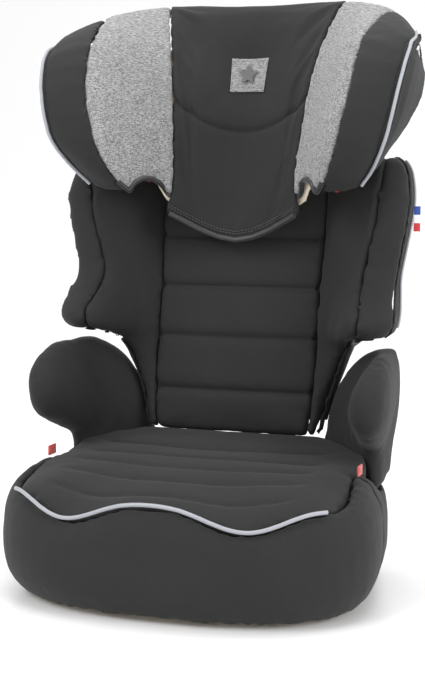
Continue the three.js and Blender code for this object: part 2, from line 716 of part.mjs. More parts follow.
// ---- Headrest ----
// Stations from the rear of the top edge, over it and down to the lower edge.
// Each holds the rails' [x, y, z]: middle, heather inner and outer edge, piping, rear of the side.
const HEAD_STATIONS = [
  { c: [206, 700], i: [118, 196, 698], o: [190, 150, 676], p: [222, 118, 642], b: [219, 146, 632] },
  { c: [194, 709], i: [117, 186, 708], o: [189, 137, 688], p: [226, 94, 651], b: [223, 143, 626] },
  { c: [183, 705], i: [113, 171, 703], o: [183, 118, 686], p: [226, 64, 650], b: [227, 138, 619] },
  { c: [165, 642], i: [97, 134, 650], o: [169, 42, 648], p: [224, 30, 628], b: [229, 130, 606] },
  { c: [148, 590], i: [87, 112, 590], o: [164, 10, 596], p: [218, 10, 588], b: [229, 116, 586] },
  { c: [134, 530], i: [81, 98, 530], o: [150, 2, 530], p: [206, 8, 534], b: [220, 82, 552] },
  { c: [121, 478], i: [78, 90, 490], o: [134, 20, 490], p: [190, 28, 504], b: [202, 60, 520] },
  { c: [112, 442], i: [79, 86, 466], o: [126, 33, 477], p: [178, 42, 487], b: [189, 57, 499] },
  { c: [101, 409], i: [84, 82, 443], o: [117, 46, 467], p: [165, 50, 474], b: [170, 58, 482] },
];

function headRails() {
  const across = HEAD_WIDTH / STATION_HEAD;
  const at = (x, y, z) => [x * across, y + LIFT * lean, z + LIFT];
  return [
    HEAD_STATIONS.map(({ c }) => at(0, ...c)),
    ...["i", "o", "p", "b"].map((key) => HEAD_STATIONS.map((station) => at(...station[key]))),
  ];
}

const HEAD_INWARD = [V(0, 1, -0.15), V(0.55, 0.83, 0), V(0.42, 0.9, 0), V(-0.62, 0.78, 0), V(-1, 0, 0)];
const OVER_TOP = [V(0, -0.4, -1), V(0, 0, -1), V(0, 0.8, -0.8)];
const headInward = (k, v) => {
  const station = v * (HEAD_STATIONS.length - 1);
  const dir = acrossNormal(HEAD_INWARD[k]);
  const row = Math.min(2, Math.floor(station));
  const top = OVER_TOP[row].clone().lerp(row < 2 ? OVER_TOP[row + 1] : dir, Math.min(1, station - row));
  return dir.lerp(top.normalize(), 1 - smooth(station, 2, 3));
};
const headSkin = makeSkin(headRails(), headInward, false, SEAM_GAP);
const headShare = (station) => station / (HEAD_STATIONS.length - 1);

function makeHeadrest() {
  const pad = [0, HEAD_PAD];
  put(
    "head_centre_pad",
    panel(headSkin, [-1, 1], [0, 1], pad, 8, 16),
    blackFabric,
  );
  // The strips' lower edge is an arch that clears the shoulder belt.
  const arch = (a) => headShare(lerp(7.1, 8, a - 1) - 1.3 * Math.sin(Math.PI * (a - 1)));
  putPair(
    "head_strip",
    panel(headSkin, [1, 2], [0, arch], pad, 6, 16),
    heatherFabric,
  );
  putPair(
    "head_band",
    panel(headSkin, [2, 3], [0, 1], pad, 4, 16),
    blackFabric,
  );
  putPair(
    "head_side",
    panel(headSkin, [3.1, 4], [0, 1], [0, HEAD_PAD / 2], 4, 16),
    blackFabric,
  );

  // Foam liner; its rounded tongue hangs behind the cover's lower flap.
  const linerLow = (a) =>
    headShare(Math.abs(a) < 1 ? lerp(7.4, 7.6, 1 - Math.abs(a)) : lerp(7.4, 5.4, smooth(Math.abs(a), 1, 1.5)));
  const linerAt = HEAD_PAD + 4 * LAYER_GAP;
  put(
    "head_liner",
    panel(headSkin, [-2.75, 2.75], [headShare(3), linerLow], [linerAt, linerAt + HEAD_LINER], 22, 10),
    creamFoam,
  );
  const shellAt = linerAt + HEAD_LINER + 2 * LAYER_GAP;
  put(
    "head_shell",
    panel(headSkin, [-2.75, 2.75], [headShare(3), headShare(5.5)], [shellAt, shellAt + SHELL_WALL], 22, 5),
    blackPlastic,
  );

  // Piping along the front edge of each side, standing off the sewn edge, and further off where a
  // narrow headrest turns more sharply.
  const pipe = [];
  for (let i = 0; i <= 24; i++) pipe.push(headSkin(3, lerp(0.04, 0.97, i / 24), -PIPING / 2 - 2.8 / ACROSS ** 2));
  putPair("head_piping", tube(pipe, PIPING, 30), whitePiping);

  // Plain woven patch on the front.
  const patch = panel(
    headSkin,
    [-PATCH_WIDTH / 2 / 92, PATCH_WIDTH / 2 / 92],
    [headShare(3.1), headShare(3.92)],
    [-1.2 - PATCH_THICKNESS, -1.2],
    3,
    3,
  );
  put("head_patch", patch, heatherFabric);

  // Slider that carries the headrest. Its neck reaches over the backrest to the headrest's shell,
  // and its ears hold the lever's pin.
  const sliderLow = SLIDER_LOW + LEAN_LIFT;
  const sliderHigh = SLIDER_HIGH + LEAN_LIFT;
  const plate = box(
    SLIDER_WIDTH,
    SLIDER_THICKNESS,
    sliderHigh - sliderLow,
    0,
    SLIDER_AT + SLIDER_THICKNESS / 2,
    (sliderLow + sliderHigh) / 2,
  );
  const neck = box(NECK_WIDTH, SLIDER_AT + 20, NECK_HEIGHT, 0, (SLIDER_AT - 18) / 2, NECK_AT);
  const ear = (x) => box(6, 14, LEVER_HEIGHT - sliderHigh + 14, x, LEVER_AT, (LEVER_HEIGHT + sliderHigh) / 2);
  const headSpace = panel(
    headSkin,
    [-0.75, 0.75],
    [headShare(3), headShare(6)],
    [-30, shellAt + SHELL_WALL + GAP],
    6,
    6,
  ).applyMatrix4(leaning.matrix.clone().invert());
  put(
    "head_slider",
    cut(
      join(plate, neck, ear(EAR_AT), ear(-EAR_AT)),
      headSpace,
      box(BOLT_WIDTH + 1, 40, BOLT_THICKNESS + 1, 0, SLIDER_AT, BOLT_HEIGHT),
      box(BOLT_WIDTH + 4, LINK_SPACE, NECK_HEIGHT + 10, 0, SLIDER_AT - LINK_SPACE / 2, NECK_AT),
      barX(LEVER_PIN_RADIUS + ROD_CLEARANCE / 2, SLIDER_WIDTH + 10, 0, LEVER_AT, LEVER_HEIGHT),
    ),
    blackPlastic,
    leaning,
  );

  // Shoulder belt hooks behind the arches.
  const guideShape = new THREE.Shape();
  guideShape.absarc(0, 0, GUIDE_OUTER, radians(-60), radians(200), false);
  guideShape.absarc(0, 0, GUIDE_INNER, radians(200), radians(-60), true);
  const guide = new THREE.ExtrudeGeometry(guideShape, {
    depth: GUIDE_THICKNESS,
    bevelEnabled: false,
    curveSegments: 14,
  })
    .rotateX(Math.PI / 2)
    .rotateZ(radians(-32));
  const anchor = headSkin(1.55, headShare(6.1), HEAD_PAD + HEAD_LINER + SHELL_WALL + 21);
  putPair(
    "shoulder_belt_guide",
    closed(guide.translate(anchor.x, anchor.y, anchor.z)),
    redPlastic,
  );

  put(
    "lever_pin",
    barX(LEVER_PIN_RADIUS, 2 * EAR_AT + 8, 0, LEVER_AT, LEVER_HEIGHT),
    steel,
    leaning,
  );
}
const LEVER_AT = SLIDER_AT + SLIDER_THICKNESS / 2;
const LEVER_HEIGHT = 478 + LEAN_LIFT;
const LEVER_WIDTH = 64;
const LEVER_HUB = 7;
const EAR_AT = SLIDER_WIDTH / 2 - 3; // middle of each ear
const NECK_WIDTH = 60;
const NECK_HEIGHT = 56;
const NECK_AT = 408 + LEAN_LIFT;

// The lever turns on its pin. Its short arm pushes the link, which draws the bolt out of its notch.
function makeLatch() {
  const hub = barX(LEVER_HUB, LEVER_WIDTH, 0, LEVER_AT, LEVER_HEIGHT);
  const grip = box(LEVER_WIDTH, 5, 46, 0, LEVER_AT + 2, LEVER_HEIGHT + 25);
  const lip = box(LEVER_WIDTH, 14, 6, 0, LEVER_AT + 6, LEVER_HEIGHT + 45);
  const armTop = LEVER_HEIGHT - 2;
  const arm = box(BOLT_WIDTH, 3, armTop - LINK_TOP + 4, 0, SLIDER_AT - 2, (armTop + LINK_TOP - 4) / 2);
  put(
    "height_lever",
    cut(
      join(hub, grip, lip, arm),
      barX(LEVER_PIN_RADIUS + ROD_CLEARANCE, LEVER_WIDTH + 10, 0, LEVER_AT, LEVER_HEIGHT),
    ),
    redPlastic,
    leaning,
  );
  const linkAt = SLIDER_AT - LINK_AHEAD;
  const boltTip = RACK_AT + RACK_THICKNESS - 0.5;
  put(
    "latch_bolt",
    join(
      box(BOLT_WIDTH, boltTip - linkAt, BOLT_THICKNESS, 0, (boltTip + linkAt) / 2, BOLT_HEIGHT),
      box(
        BOLT_WIDTH,
        LINK_THICKNESS,
        LINK_TOP - BOLT_HEIGHT + BOLT_THICKNESS / 2,
        0,
        linkAt,
        (LINK_TOP + BOLT_HEIGHT - BOLT_THICKNESS / 2) / 2,
      ),
    ),
    steel,
    leaning,
  );

  // Torsion spring beside the lever, round its pin.
  const coil = [];
  for (let i = 0; i <= SPRING_TURNS * 8; i++) {
    const angle = (i / 8) * 2 * Math.PI;
    coil.push(
      V(
        LEVER_WIDTH / 2 + 2 + (i / 8) * (SPRING_WIRE + 0.5),
        LEVER_AT + SPRING_RADIUS * Math.cos(angle),
        LEVER_HEIGHT + SPRING_RADIUS * Math.sin(angle),
      ),
    );
  }
  put("lever_spring", tube(coil, SPRING_WIRE, 40, 3), steel, leaning);
}
const LINK_TOP = 461 + LEAN_LIFT; // top of the latch's link
const SPRING_TURNS = 3;
const SPRING_WIRE = 1.4;
const SPRING_RADIUS = 5;

// The leaning frame: its origin is the front of the backrest's pad at its bottom, its Y axis runs
// backwards through the backrest and its Z axis up along it.
const leaning = new THREE.Group();
leaning.position.set(0, BACK_Y, BACK_Z);
leaning.rotation.x = -radians(RECLINE);
leaning.updateMatrix();
object.add(leaning);

makeBase();
makeArmrests();
makeBackrest();
makeHeadrest();
makeLatch();

export default object;
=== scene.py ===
# Booster seat: covers, pads, shells and mechanism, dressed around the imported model.
# Metres, +Z up, the child faces -Y.

import json
import math

import bmesh
import bpy
import numpy as np
from mathutils import Matrix, Vector, kdtree, noise
from mathutils.bvhtree import BVHTree


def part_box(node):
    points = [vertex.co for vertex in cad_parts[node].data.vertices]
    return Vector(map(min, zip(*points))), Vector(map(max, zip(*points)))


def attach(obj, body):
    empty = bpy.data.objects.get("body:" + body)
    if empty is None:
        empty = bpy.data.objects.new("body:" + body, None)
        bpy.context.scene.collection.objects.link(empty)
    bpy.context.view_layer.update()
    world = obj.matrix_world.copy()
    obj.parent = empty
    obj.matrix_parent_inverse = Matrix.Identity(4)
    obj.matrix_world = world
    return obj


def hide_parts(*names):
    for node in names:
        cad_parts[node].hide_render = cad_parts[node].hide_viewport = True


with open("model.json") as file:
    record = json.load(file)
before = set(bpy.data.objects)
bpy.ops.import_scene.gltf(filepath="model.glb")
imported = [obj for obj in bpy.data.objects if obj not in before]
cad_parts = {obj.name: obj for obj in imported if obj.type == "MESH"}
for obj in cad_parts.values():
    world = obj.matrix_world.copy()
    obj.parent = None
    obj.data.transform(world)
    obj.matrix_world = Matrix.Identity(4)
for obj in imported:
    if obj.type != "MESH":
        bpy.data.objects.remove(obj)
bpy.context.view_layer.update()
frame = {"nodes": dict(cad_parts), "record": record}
NODES = frame["nodes"]
BODY = {
    name: body
    for body, names in frame["record"]["behaviour"]["bodies"].items()
    for name in names
}
MM = 0.001
DATUM_Y = -10.3  # mm, from the seat's datum to the origin
BACK_Z, BACK_Y, RECLINE = 172.0, 85.5 + DATUM_Y, math.radians(10.9)
SIDES = (("right", 1), ("left", -1))

# ---------------------------------------------------------------- camera


def set_camera():
    """The studio camera, by its lens, its place and its three axes."""
    data = bpy.data.cameras.new("studio_camera")
    data.lens = 77.87
    data.sensor_width = 36
    camera = bpy.data.objects.new("studio_camera", data)
    right = Vector((0.94966, 0.31316, 0.00868))
    up = Vector((-0.03985, 0.09327, 0.99484))
    back = Vector((0.3107, -0.9451, 0.1011))
    turn = Matrix((right, up, back)).transposed().to_4x4()
    camera.matrix_world = Matrix.Translation((0.5493, -1.6665, 0.4698)) @ turn
    bpy.context.scene.collection.objects.link(camera)
    bpy.context.scene.camera = camera


set_camera()

# ---------------------------------------------------------------- shader groups

COLOUR_A, COLOUR_B, COLOUR_RESULT = 6, 7, 2


def group(name, inputs, outputs):
    tree = bpy.data.node_groups.new(name, "ShaderNodeTree")
    for label, kind, value in inputs:
        socket = tree.interface.new_socket(label, in_out="INPUT", socket_type=kind)
        socket.default_value = value
    for label, kind in outputs:
        tree.interface.new_socket(label, in_out="OUTPUT", socket_type=kind)
    return tree, tree.nodes.new("NodeGroupInput"), tree.nodes.new("NodeGroupOutput")


def add(tree, kind, links=None, **settings):
    """A node with its settings, its sockets fed from links: name or number to socket or value."""
    node = tree.nodes.new("ShaderNode" + kind)
    for key, value in settings.items():
        setattr(node, key, value)
    for key, value in (links or {}).items():
        if isinstance(value, bpy.types.NodeSocket):
            tree.links.new(value, node.inputs[key])
        else:
            node.inputs[key].default_value = value
    return node


def math_node(tree, operation, a, b=0.0, clamp=False):
    return add(tree, "Math", {0: a, 1: b}, operation=operation, use_clamp=clamp).outputs[0]


def ramp(tree, value, low, high):
    node = add(tree, "MapRange", {"Value": value, "From Min": low, "From Max": high})
    return node.outputs["Result"]


def mix(tree, share, a, b):
    """A blend of two colours. A Mix node's colour sockets are found by number."""
    node = add(tree, "Mix", {"Factor": share}, data_type="RGBA")
    for socket, value in ((node.inputs[COLOUR_A], a), (node.inputs[COLOUR_B], b)):
        if isinstance(value, bpy.types.NodeSocket):
            tree.links.new(value, socket)
        else:
            socket.default_value = value
    return node.outputs[COLOUR_RESULT]


def grey(value, tint=(1, 1, 1)):
    """An opaque grey, tinted a little."""
    return (value * tint[0], value * tint[1], value * tint[2], 1)


def knit_group():
    """Fine knitted face: small loops in rows, with a slow unevenness in tone."""
    tree, source, sink = group(
        "knit",
        [("Loops", "NodeSocketFloat", 900.0), ("Unevenness", "NodeSocketFloat", 0.3)],
        [("Height", "NodeSocketFloat"), ("Tone", "NodeSocketFloat")],
    )
    place = add(tree, "TexCoord").outputs["Object"]
    loops = add(tree, "TexVoronoi", {"Vector": place, "Scale": source.outputs["Loops"]})
    lint = add(tree, "TexNoise", {"Vector": place, "Scale": 260.0, "Detail": 3.0})
    slow = add(tree, "TexNoise", {"Vector": place, "Scale": 14.0, "Detail": 4.0})
    height = math_node(tree, "ADD", loops.outputs["Distance"], lint.outputs["Fac"])
    tree.links.new(height, sink.inputs["Height"])
    spread = math_node(tree, "SUBTRACT", slow.outputs["Fac"], 0.5)
    fine = math_node(tree, "MULTIPLY", math_node(tree, "SUBTRACT", lint.outputs["Fac"], 0.5), 0.5)
    tone = math_node(
        tree, "MULTIPLY", math_node(tree, "ADD", spread, fine), source.outputs["Unevenness"]
    )
    tree.links.new(math_node(tree, "ADD", tone, 0.5, clamp=True), sink.inputs["Tone"])
    return tree


def grain_group():
    """Moulded surface: fine spark grain, and faint handling marks in the gloss."""
    tree, source, sink = group(
        "moulded_grain",
        [("Grain", "NodeSocketFloat", 1200.0), ("Marks", "NodeSocketFloat", 0.15)],
        [("Height", "NodeSocketFloat"), ("Gloss change", "NodeSocketFloat")],
    )
    place = add(tree, "TexCoord").outputs["Object"]
    grain = add(
        tree, "TexNoise", {"Vector": place, "Scale": source.outputs["Grain"], "Detail": 2.0}
    )
    marks = add(tree, "TexNoise", {"Vector": place, "Scale": 22.0, "Detail": 6.0})
    tree.links.new(grain.outputs["Fac"], sink.inputs["Height"])
    change = math_node(tree, "SUBTRACT", marks.outputs["Fac"], 0.5)
    tree.links.new(
        math_node(tree, "MULTIPLY", change, source.outputs["Marks"]), sink.inputs["Gloss change"]
    )
    return tree


KNIT = knit_group()
GRAIN = grain_group()

# ---------------------------------------------------------------- materials


def finish(name, rough, metal=0.0, sheen=0.0):
    """A new material, its tree and its Principled BSDF."""
    material = bpy.data.materials.new(name)
    material.use_nodes = True
    tree = material.node_tree
    shader = tree.nodes["Principled BSDF"]
    shader.inputs["Roughness"].default_value = rough
    shader.inputs["Metallic"].default_value = metal
    shader.inputs["Sheen Weight"].default_value = sheen
    shader.inputs["Sheen Roughness"].default_value = 0.45
    return material, tree, shader


def use(tree, what, **values):
    node = tree.nodes.new("ShaderNodeGroup")
    node.node_tree = what
    for key, value in values.items():
        node.inputs[key.replace("_", " ")].default_value = value
    return node


def bump(tree, shader, height, strength, distance):
    node = add(tree, "Bump", {"Height": height, "Strength": strength, "Distance": distance})
    tree.links.new(node.outputs["Normal"], shader.inputs["Normal"])


def black_cloth():
    material, tree, shader = finish("black_knit", 0.86, sheen=0.05)
    knit = use(tree, KNIT, Loops=850.0, Unevenness=0.9)
    cool = (0.97, 1, 1)
    colour = mix(tree, knit.outputs["Tone"], grey(0.0045, cool), grey(0.0125, cool))
    tree.links.new(colour, shader.inputs["Base Color"])
    bump(tree, shader, knit.outputs["Height"], 0.35, 0.0004)
    return material


def heather_cloth():
    """Melange weave: pale and dark threads that cross, level and upright."""
    material, tree, shader = finish("heather_weave", 0.9, sheen=0.15)
    place = add(tree, "TexCoord").outputs["Object"]
    threads = []
    for stretch in ((700.0, 700.0, 4600.0), (4600.0, 2400.0, 640.0)):
        along = add(tree, "Mapping", {"Vector": place, "Scale": stretch})
        threads.append(
            add(tree, "TexNoise", {"Vector": along.outputs[0], "Scale": 0.3, "Detail": 2.0})
        )
    both = math_node(
        tree, "MULTIPLY", math_node(tree, "ADD", *[t.outputs["Fac"] for t in threads]), 0.5
    )
    pale = mix(tree, ramp(tree, both, 0.40, 0.60), grey(0.085, (0.97, 1, 1.03)), grey(0.42))
    dark = ramp(tree, threads[1].outputs["Fac"], 0.56, 0.68)
    tree.links.new(mix(tree, dark, pale, grey(0.07)), shader.inputs["Base Color"])
    bump(tree, shader, both, 0.5, 0.0006)
    return material


def trim_cloth(name, light, dark):
    """Satin trim with a fine slanting rib."""
    material, tree, shader = finish(name, 0.42, sheen=0.2)
    place = add(tree, "TexCoord").outputs["Object"]
    rib = add(tree, "TexWave", {"Vector": place, "Scale": 260.0}, bands_direction="DIAGONAL")
    tree.links.new(mix(tree, rib.outputs["Fac"], dark, light), shader.inputs["Base Color"])
    bump(tree, shader, rib.outputs["Fac"], 0.25, 0.0003)
    return material


def moulded(name, colour, rough, marks=0.2):
    material, tree, shader = finish(name, rough)
    grain = use(tree, GRAIN, Grain=1100.0, Marks=marks)
    worn = tuple(min(1, c * 1.6 + 0.004) for c in colour[:3]) + (1,)
    share = math_node(tree, "ADD", grain.outputs["Gloss change"], 0.3, clamp=True)
    tree.links.new(mix(tree, share, colour, worn), shader.inputs["Base Color"])
    gloss = math_node(tree, "ADD", grain.outputs["Gloss change"], rough, clamp=True)
    tree.links.new(gloss, shader.inputs["Roughness"])
    bump(tree, shader, grain.outputs["Height"], 0.2, 0.0003)
    return material


def brushed_steel():
    material, tree, shader = finish("drawn_steel", 0.32, metal=1.0)
    place = add(tree, "TexCoord").outputs["Object"]
    along = add(tree, "Mapping", {"Vector": place, "Scale": (60.0, 2400.0, 2400.0)})
    lines = add(tree, "TexNoise", {"Vector": along.outputs[0], "Scale": 1.0, "Detail": 3.0})
    tree.links.new(
        mix(tree, lines.outputs["Fac"], grey(0.42), grey(0.62)), shader.inputs["Base Color"]
    )
    bump(tree, shader, lines.outputs["Fac"], 0.12, 0.0001)
    return material


def open_foam():
    material, tree, shader = finish("cream_foam", 0.95)
    place = add(tree, "TexCoord").outputs["Object"]
    cells = add(tree, "TexVoronoi", {"Vector": place, "Scale": 700.0})
    colour = mix(
        tree, cells.outputs["Distance"], (0.72, 0.62, 0.46, 1), (0.86, 0.79, 0.66, 1)
    )
    tree.links.new(colour, shader.inputs["Base Color"])
    bump(tree, shader, cells.outputs["Distance"], 0.5, 0.0006)
    return material


def label_cloth(top, bottom):
    """Woven label in three blocks: blue, white and red, from top to bottom."""
    material, tree, shader = finish("label_weave", 0.6, sheen=0.2)
    place = add(tree, "TexCoord").outputs["Object"]
    height = add(tree, "SeparateXYZ", {0: place}).outputs["Z"]
    tall = top - bottom
    above = math_node(tree, "GREATER_THAN", height, bottom + tall * 0.66)
    below = math_node(tree, "LESS_THAN", height, bottom + tall * 0.33)
    white = grey(0.8)
    blue = mix(tree, above, white, (0.02, 0.06, 0.30, 1))
    tree.links.new(mix(tree, below, blue, (0.55, 0.03, 0.04, 1)), shader.inputs["Base Color"])
    weave = add(tree, "TexWave", {"Vector": place, "Scale": 500.0}, bands_direction="Z")
    bump(tree, shader, weave.outputs["Fac"], 0.2, 0.0002)
    return material


BLACK = black_cloth()
HEATHER = heather_cloth()
COOL_WHITE = (0.94, 0.98, 1.06)
PIPE = trim_cloth("satin_piping", grey(0.40, COOL_WHITE), grey(0.24, COOL_WHITE))
DARK_PIPE = trim_cloth("black_binding", grey(0.030), grey(0.012))
THREAD = trim_cloth("sewing_thread", grey(0.075), grey(0.035))
PALE_THREAD = trim_cloth("pale_thread", grey(0.5), grey(0.3))
TAB = trim_cloth("red_tape", (0.62, 0.09, 0.07, 1), (0.42, 0.05, 0.04, 1))
BLACK_MOULD = moulded("black_moulding", grey(0.012), 0.46)
RED_MOULD = moulded("red_moulding", (0.42, 0.020, 0.016, 1), 0.40, 0.12)
STEEL = brushed_steel()
RUBBER = moulded("black_rubber", grey(0.014), 0.78, 0.3)
FOAM = open_foam()

# ---------------------------------------------------------------- pieces


def piece(name, mesh, body, material, replaced=()):
    obj = bpy.data.objects.new(name, mesh)
    bpy.context.scene.collection.objects.link(obj)
    mesh.materials.clear()
    mesh.materials.append(material)
    for face in mesh.polygons:
        face.use_smooth = True
    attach(obj, body)
    if replaced:
        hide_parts(*replaced)
    return obj


def merged(node):
    """A copy of a node's mesh, with the triangles joined at their corners."""
    bm = bmesh.new()
    bm.from_mesh(NODES[node].data)
    bmesh.ops.remove_doubles(bm, verts=bm.verts, dist=2e-5)
    return bm


def corners_in(geometry):
    return [v for v in geometry if isinstance(v, bmesh.types.BMVert)]


def to_mesh(bm, name):
    mesh = bpy.data.meshes.new(name)
    bm.to_mesh(mesh)
    bm.free()
    return mesh


def applied(obj):
    """The mesh of an object with its modifiers in it."""
    bpy.context.view_layer.update()
    made = obj.evaluated_get(bpy.context.evaluated_depsgraph_get())
    return bpy.data.meshes.new_from_object(made)


def coordinates(mesh):
    co = np.empty(len(mesh.vertices) * 3)
    mesh.vertices.foreach_get("co", co)
    return co.reshape(-1, 3)


def normals(mesh):
    out = np.empty(len(mesh.vertices) * 3)
    mesh.vertex_normals.foreach_get("vector", out)
    return out.reshape(-1, 3)


PRESSURE = 4.0
CLOTH_FRAMES = 20
SEWN_WIDTH = 0.003  # beside a seam, where the cover is held down
SWELL_REACH = 0.02  # how soon past a seam a piece is full, when no cloth is simulated
PUCKER_REACH = 0.012


def seam_points(bm, sharp=math.radians(48), pitch=0.003):
    """Points along the sharp edges, where the cover is sewn."""
    out = []
    for edge in bm.edges:
        if len(edge.link_faces) == 2 and edge.calc_face_angle(0) > sharp:
            a, b = (v.co for v in edge.verts)
            steps = max(1, round((b - a).length / pitch))
            out += [a.lerp(b, i / steps) for i in range(steps + 1)]
    return out


def distances(co, points):
    tree = kdtree.KDTree(len(points))
    for i, p in enumerate(points):
        tree.insert(p, i)
    tree.balance()
    return np.array([tree.find(c)[2] for c in co])


def with_core(bm, core):
    """Joins the piece inside a thin cover to it, so that the remesh finds no hollow."""
    inner = to_mesh(merged(core), "core")
    bm.from_mesh(inner)
    bpy.data.meshes.remove(inner)


def blank(node, core, voxel, ease, grow):
    """The node's form rebuilt on an even grid, its points let out by grow, and its seams."""
    bm = merged(node)
    seams = seam_points(bm)
    if core:
        with_core(bm, core)
    obj = bpy.data.objects.new("blank", to_mesh(bm, node + "_cover"))
    bpy.context.scene.collection.objects.link(obj)
    remesh = obj.modifiers.new("remesh", "REMESH")
    remesh.mode = "VOXEL"
    remesh.voxel_size = voxel
    if ease:
        soften = obj.modifiers.new("soften", "SMOOTH")
        soften.factor, soften.iterations = 0.5, ease
    obj.data = applied(obj)
    obj.modifiers.clear()
    return obj, coordinates(obj.data) + normals(obj.data) * grow, seams


def blown_up(obj, start, sewn, pressure):
    """Where the blank's points go when cloth held at its seams is blown up."""
    obj.data.vertices.foreach_set("co", start.ravel())
    pinned = obj.vertex_groups.new(name="sewn")
    pinned.add([int(i) for i in np.nonzero(sewn)[0]], 1.0, "REPLACE")
    cloth = obj.modifiers.new("cloth", "CLOTH")
    cloth.settings.vertex_group_mass = "sewn"
    cloth.settings.use_pressure = True
    cloth.settings.uniform_pressure_force = pressure
    cloth.settings.effector_weights.gravity = 0
    cloth.settings.quality = 4
    cloth.collision_settings.use_collision = False
    cloth.point_cache.frame_start, cloth.point_cache.frame_end = 1, CLOTH_FRAMES
    for step in range(1, CLOTH_FRAMES + 1):
        bpy.context.scene.frame_set(step)
    blown = coordinates(applied(obj))
    obj.modifiers.clear()
    obj.vertex_groups.clear()
    bpy.context.scene.frame_set(1)
    return blown


def puckers(co, seams, wrinkle):
    """How far each point sinks into small wrinkles, which are deepest beside the seams."""
    depth = wrinkle * (0.5 + 1.4 * np.exp(-distances(co, seams) / PUCKER_REACH))
    waves = [noise.noise(Vector(c) * 42) + 0.5 * noise.noise(Vector(c) * 95) for c in co]
    return depth * np.array(waves)


def stuffed(
    node, material, slot, fill, voxel=0.0045, cap=0.006, shape=None, fine=True,
    wrinkle=0.0006, core=None, grow=0.0, ease=3,
):
    """A padded piece: the node's form, blown up by cloth between its seams, then quilted.

    voxel is the grid's pitch and cap the farthest that the cloth may swell. shape(co) gives how
    far each point sinks in along its normal. grow is how far the blank is let out, so that sewn
    neighbours meet, and ease how often it is smoothed. All lengths are in metres.
    """
    obj, start, seams = blank(node, core, voxel, ease, grow)
    near = distances(start, seams)
    if cap:
        move = blown_up(obj, start, near < SEWN_WIDTH, PRESSURE) - start
        far = np.maximum(np.linalg.norm(move, axis=1, keepdims=True), 1e-9)
        start = start + move / far * np.minimum(far, cap)
    elif cap:
        swell = cap * 0.7 * (1 - np.exp(-np.maximum(near - SEWN_WIDTH, 0) / SWELL_REACH))
        start = start + normals(obj.data) * swell[:, None]
    obj.data.vertices.foreach_set("co", start.ravel())
    if fine:
        subdivide = obj.modifiers.new("fine", "SUBSURF")
        subdivide.levels = subdivide.render_levels = 1
        obj.data = applied(obj)
        obj.modifiers.clear()
    co, out = coordinates(obj.data), normals(obj.data)
    sink = shape(co) if shape else np.zeros(len(co))
    if wrinkle:
        sink = sink + puckers(co, seams, wrinkle)
    obj.data.vertices.foreach_set("co", (co - out * sink[:, None]).ravel())
    final = obj.data
    bpy.data.objects.remove(obj)
    made = piece(node + "_cover", final, BODY[node], material, [node])
    return made


def groove(away, width, depth):
    """How far a sewn channel sinks, at a distance from its line."""
    return depth * np.exp(-np.abs(away) / width)


# ---------------------------------------------------------------- quilting

BACK_CHANNELS = (0.413, 0.350, 0.287, 0.221)  # z of each level channel
SEAT_CHANNELS = (-0.168, -0.128, -0.088, -0.046, 0.0)  # y of each, from the seat's datum
SEAT_CHANNEL_BEND = 1.55  # how fast a seat channel turns rearwards towards the sides, per metre
SEAT_TOP = 0.128  # z above which the seat pad is quilted
SMILE_LOW, SMILE_RISE, SMILE_HALF = 0.545, 0.040, 0.087  # the head pad's curved seam


def back_quilting(co):
    front = co[:, 1] < (BACK_Y + (co[:, 2] / MM - BACK_Z) * math.tan(RECLINE) + 8) * MM
    sink = np.zeros(len(co))
    for line in BACK_CHANNELS:
        away = co[:, 2] - line
        sink += groove(away, 0.0045, 0.0065) * np.clip((0.115 - np.abs(co[:, 0])) / 0.01, 0, 1)
    return sink * front


def seat_quilting(co):
    x, y, z = co.T
    sink = np.zeros(len(co))
    for line in SEAT_CHANNELS:
        away = y - (line + SEAT_CHANNEL_BEND * x**2 + DATUM_Y * MM)
        sink += groove(away, 0.0045, 0.0045) * np.clip((0.15 - np.abs(x)) / 0.02, 0, 1)
    return sink * (z > SEAT_TOP)


def head_quilting(co):
    x, y, z = co.T
    smile = SMILE_LOW + SMILE_RISE * np.minimum(1, np.abs(x) / SMILE_HALF) ** 2
    low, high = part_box("head_patch")
    outside = np.maximum(
        np.maximum(low[0] - x, x - high[0]), np.maximum(low[2] - z, z - high[2])
    )
    patch = 0.0032 * np.clip(1 - outside / 0.035, 0, 1) ** 2
    return groove(z - smile, 0.0035, 0.0045) + patch * (y < high[1] + 0.006)


# ---------------------------------------------------------------- soft goods

